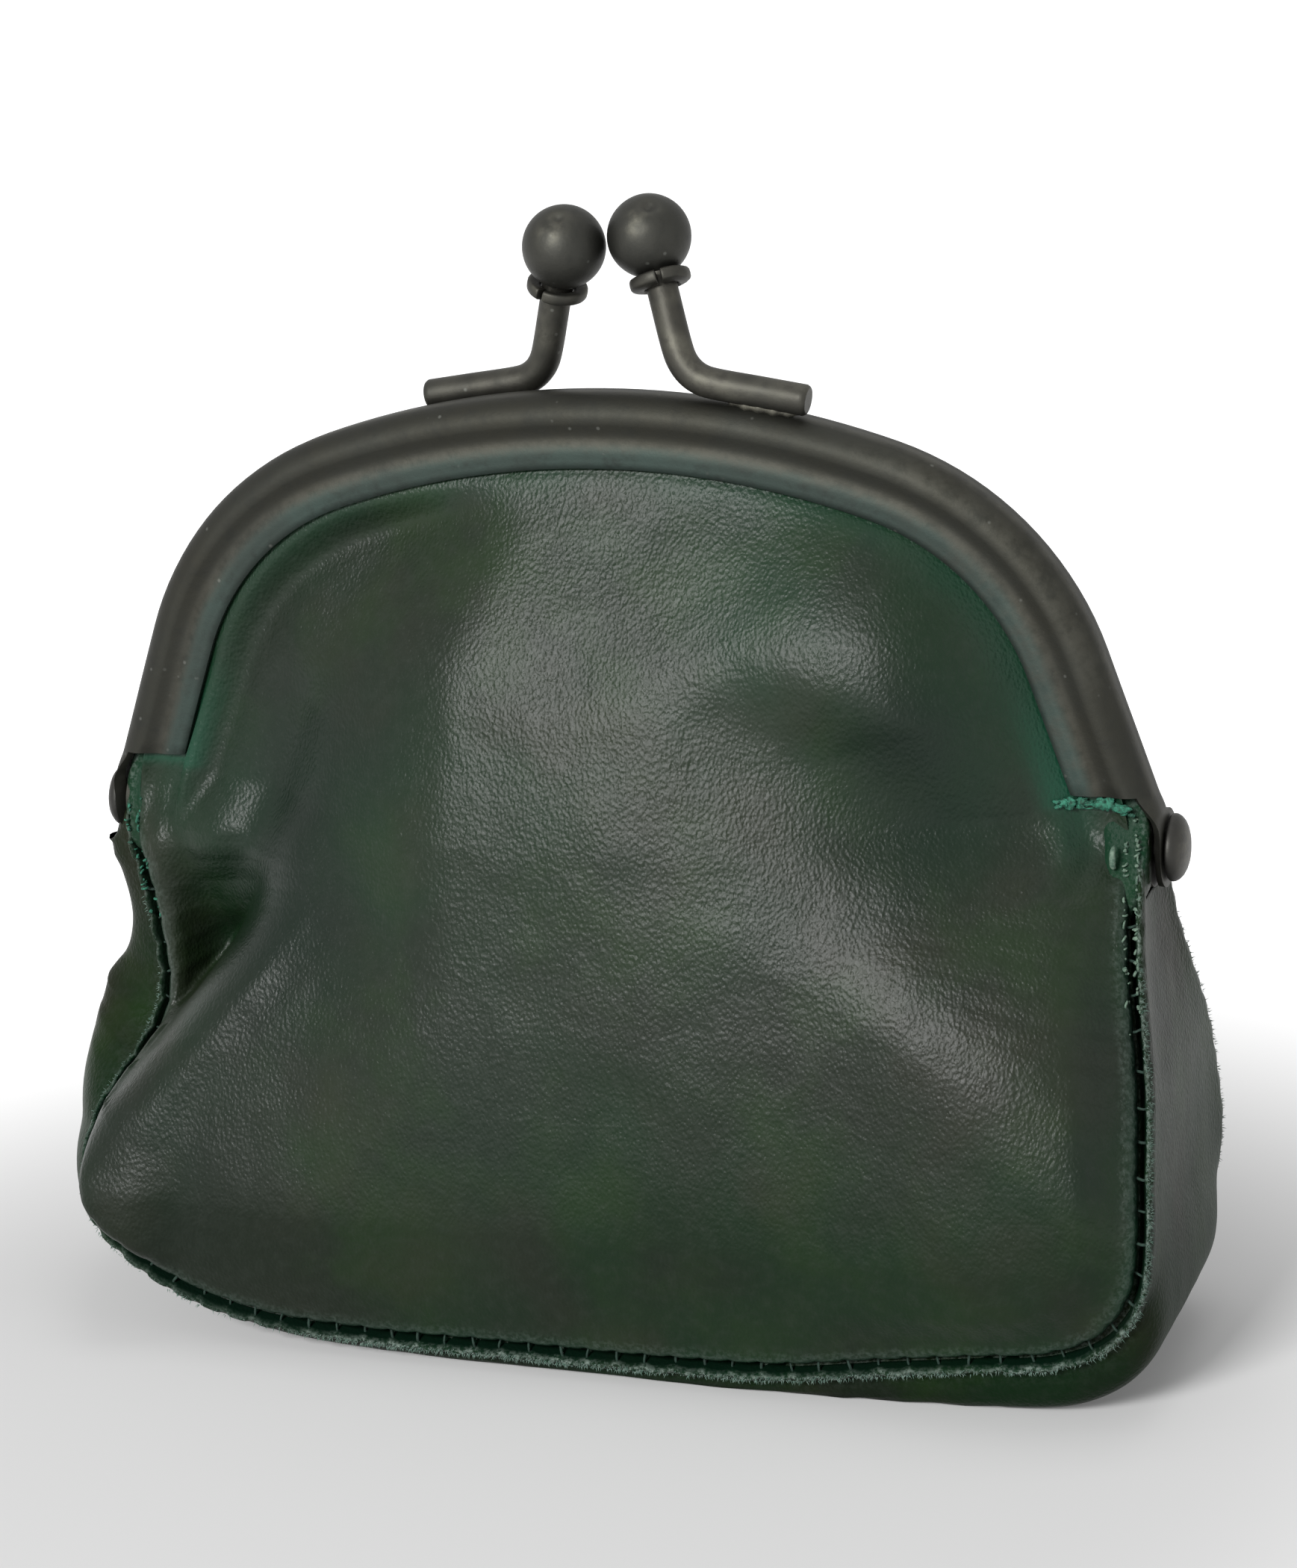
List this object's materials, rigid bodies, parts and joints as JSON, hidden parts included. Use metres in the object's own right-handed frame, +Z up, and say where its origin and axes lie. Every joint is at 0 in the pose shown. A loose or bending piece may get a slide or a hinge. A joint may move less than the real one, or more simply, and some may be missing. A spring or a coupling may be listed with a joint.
{
  "type": "kiss lock frame purse",
  "caption": "Small leather coin purse with a riveted arch metal frame that opens front and back and snaps shut with a ball clasp.",
  "frame": {"origin": "on the flat base that the purse stands on, straight below the middle of the hinge line", "axes": "+Z up to the ball clasp, +X to the right seen from the front, -Y out of the front panel"},
  "size_m": [0.1043, 0.0357, 0.1011],
  "materials": {
    "frame_metal": "antique gunmetal plating, rubbed brown on the outer edge",
    "rivet_metal": "antique gunmetal plating",
    "clasp_metal": "matte antique gunmetal wire",
    "ball_metal": "matte antique gunmetal, rubbed lighter in spots",
    "panel_leather": "mottled dark green and charcoal waxed cowhide, fine grain",
    "gusset_leather": "dark green waxed cowhide, rubbed along the seam fold",
    "seam_thread": "green waxed thread",
    "packing_cord": "twisted kraft paper cord"
  },
  "bodies": {
    "pouch": {"front_panel": "panel_leather", "back_panel": "panel_leather", "gusset": "gusset_leather", "front_seam_thread": "seam_thread", "back_seam_thread": "seam_thread", "right_rivet": "rivet_metal", "left_rivet": "rivet_metal"},
    "front_half": {"front_frame": "frame_metal", "front_clasp_rod": "clasp_metal", "front_clasp_collar": "clasp_metal", "front_clasp_ball": "ball_metal", "front_paper_cord": "packing_cord", "front_panel_top": "panel_leather", "front_panel_bend": "panel_leather"},
    "back_half": {"back_frame": "frame_metal", "back_clasp_rod": "clasp_metal", "back_clasp_collar": "clasp_metal", "back_clasp_ball": "ball_metal", "back_paper_cord": "packing_cord", "back_panel_top": "panel_leather", "back_panel_bend": "panel_leather"}
  },
  "joints": [
    {"name": "front_hinge", "type": "hinge", "parent": "pouch", "child": "front_half", "pos_m": [0, 0, 0.046], "axis": [1, 0, 0], "range_deg": [0, 45], "deforming": ["front_panel_bend"]},
    {"name": "back_hinge", "type": "hinge", "parent": "pouch", "child": "back_half", "pos_m": [0, 0, 0.046], "axis": [1, 0, 0], "range_deg": [-45, 0], "deforming": ["back_panel_bend"]}
  ],
  "couplings": [
    {"joint": "back_hinge", "follows": "front_hinge", "ratio": -1}
  ]
}
